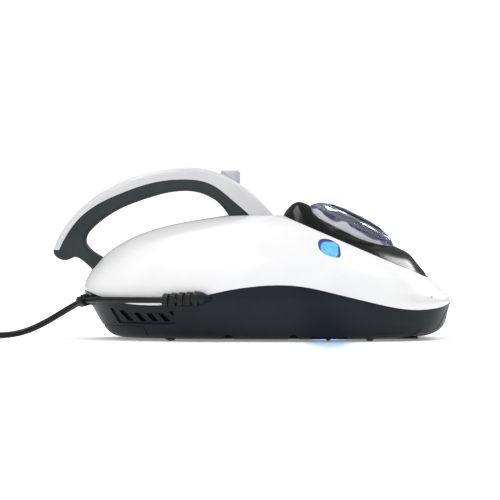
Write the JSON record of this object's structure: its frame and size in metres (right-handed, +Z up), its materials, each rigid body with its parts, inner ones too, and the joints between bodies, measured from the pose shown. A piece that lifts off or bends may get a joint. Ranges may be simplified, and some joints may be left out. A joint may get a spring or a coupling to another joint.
{
  "type": "handheld mattress vacuum cleaner",
  "caption": "Corded hand-held vacuum for beds, with a loop handle, lift-out cyclone bin, powered brush and ultraviolet lamp below.",
  "frame": {"origin": "on the surface it stands on, below the middle of the body", "axes": "+X to the nose, +Y to the left of the body, +Z up"},
  "size_m": [0.6244, 0.2681, 0.1844],
  "materials": {
    "white_shell": "glossy white",
    "base_grey": "satin charcoal",
    "piano_black": "high gloss black",
    "soft_grip": "soft-touch charcoal",
    "button_blue": "translucent blue",
    "button_grey": "satin grey",
    "clear_lid": "clear, slightly smoked",
    "cup_smoke": "smoked clear",
    "seal_rubber": "soft seal",
    "inner_plastic": "dark moulded plastic",
    "filter_mesh": "perforated steel",
    "filter_paper": "pleated paper",
    "bristle": "nylon tufts",
    "steel": "plain steel",
    "laminated_iron": "laminations and windings",
    "belt_rubber": "ribbed belt",
    "uv_glass": "lamp tube",
    "reflector": "polished sheet",
    "window_glass": "clear window",
    "board": "circuit board",
    "wheel_grey": "nylon",
    "cord_black": "satin cord jacket",
    "lens_grey": "small lens",
    "pin_metal": "nickel plated"
  },
  "bodies": {
    "body": {"upper_shell": "white_shell", "base_shell": "base_grey", "front_bumper": "base_grey", "bezel": "piano_black", "handle_cap": "white_shell", "handle_grip": "soft_grip", "indicator_lenses": "lens_grey", "bin_well": "inner_plastic", "brush_bearings": "inner_plastic", "brush_hood": "inner_plastic", "brush_motor": "steel", "drive_belt": "belt_rubber", "inlet_duct": "inner_plastic", "nozzle_plate": "base_grey", "uv_lamp": "uv_glass", "uv_sockets": "inner_plastic", "uv_reflector": "reflector", "uv_window": "window_glass", "fan_housing": "inner_plastic", "motor_can": "steel", "stator": "laminated_iron", "motor_mounts": "seal_rubber", "fan_duct": "inner_plastic", "exhaust_filter": "filter_paper", "side_louvres": "base_grey", "electronics": "board", "wheel_axles": "steel", "case_screws": "steel", "micro_switches": "inner_plastic", "button_springs": "steel", "cord_gland": "base_grey", "strain_relief": "cord_black", "cord_clip": "base_grey", "supply_cord": "cord_black", "cord_coil": "cord_black", "coil_tie": "seal_rubber", "plug_lead": "cord_black", "plug_body": "cord_black", "plug_pins": "pin_metal"},
    "bin": {"dust_cup": "cup_smoke", "lid_seal": "seal_rubber", "cyclone_plate": "inner_plastic", "mesh_screen": "filter_mesh", "pleated_filter": "filter_paper"},
    "lid": {"bin_lid": "clear_lid"},
    "power_button": {"power_button": "button_grey"},
    "release_left": {"release_button_left": "button_blue"},
    "release_right": {"release_button_right": "button_blue"},
    "brush": {"brush_core": "inner_plastic", "brush_tufts": "bristle", "brush_pulley": "inner_plastic"},
    "motor_pulley": {"motor_pulley": "steel"},
    "fan": {"impeller": "inner_plastic", "armature": "laminated_iron"},
    "wheel_fl": {"wheel_front_left": "wheel_grey"},
    "wheel_fr": {"wheel_front_right": "wheel_grey"},
    "wheel_rl": {"wheel_rear_left": "wheel_grey"},
    "wheel_rr": {"wheel_rear_right": "wheel_grey"},
    "plunger": {"contact_plunger": "wheel_grey"},
    "hatch": {"exhaust_hatch": "base_grey"}
  },
  "joints": [
    {"name": "bin_lift", "type": "slide", "parent": "body", "child": "bin", "axis": [0.4478, 0, 0.8942], "range_m": [0, 0.11]},
    {"name": "lid_twist", "type": "hinge", "parent": "bin", "child": "lid", "pos_m": [0.1114, 0, 0.1265], "axis": [0.4478, 0, 0.8942], "range_deg": [0, 40]},
    {"name": "power_press", "type": "slide", "parent": "body", "child": "power_button", "axis": [0, 0, -1], "range_m": [0, 0.003], "stiffness_N_per_m": 400, "springref_m": -0.001},
    {"name": "release_left_press", "type": "slide", "parent": "body", "child": "release_left", "axis": [0, -1, 0], "range_m": [0, 0.0025], "stiffness_N_per_m": 400, "springref_m": -0.001},
    {"name": "release_right_press", "type": "slide", "parent": "body", "child": "release_right", "axis": [0, 1, 0], "range_m": [0, 0.0025], "stiffness_N_per_m": 400, "springref_m": -0.001},
    {"name": "brush_spin", "type": "hinge", "parent": "body", "child": "brush", "pos_m": [0.158, 0, 0.022], "axis": [0, 1, 0], "continuous": true},
    {"name": "motor_pulley_spin", "type": "hinge", "parent": "body", "child": "motor_pulley", "pos_m": [0.118, 0, 0.021], "axis": [0, 1, 0], "continuous": true},
    {"name": "fan_spin", "type": "hinge", "parent": "body", "child": "fan", "pos_m": [0, 0, 0.068], "axis": [1, 0, 0], "continuous": true},
    {"name": "front_left_roll", "type": "hinge", "parent": "body", "child": "wheel_fl", "pos_m": [0.126, 0.09, 0.005], "axis": [0, 1, 0], "continuous": true},
    {"name": "front_right_roll", "type": "hinge", "parent": "body", "child": "wheel_fr", "pos_m": [0.126, -0.09, 0.005], "axis": [0, 1, 0], "continuous": true},
    {"name": "rear_left_roll", "type": "hinge", "parent": "body", "child": "wheel_rl", "pos_m": [-0.086, 0.074, 0.008], "axis": [0, 1, 0], "continuous": true},
    {"name": "rear_right_roll", "type": "hinge", "parent": "body", "child": "wheel_rr", "pos_m": [-0.086, -0.074, 0.008], "axis": [0, 1, 0], "continuous": true},
    {"name": "plunger_press", "type": "slide", "parent": "body", "child": "plunger", "axis": [0, 0, 1], "range_m": [0, 0.002], "stiffness_N_per_m": 200, "springref_m": -0.001},
    {"name": "hatch_slide", "type": "slide", "parent": "body", "child": "hatch", "axis": [-1, 0, 0], "range_m": [0, 0.035]}
  ],
  "couplings": [
    {"joint": "motor_pulley_spin", "follows": "brush_spin", "ratio": 1.6923}
  ]
}
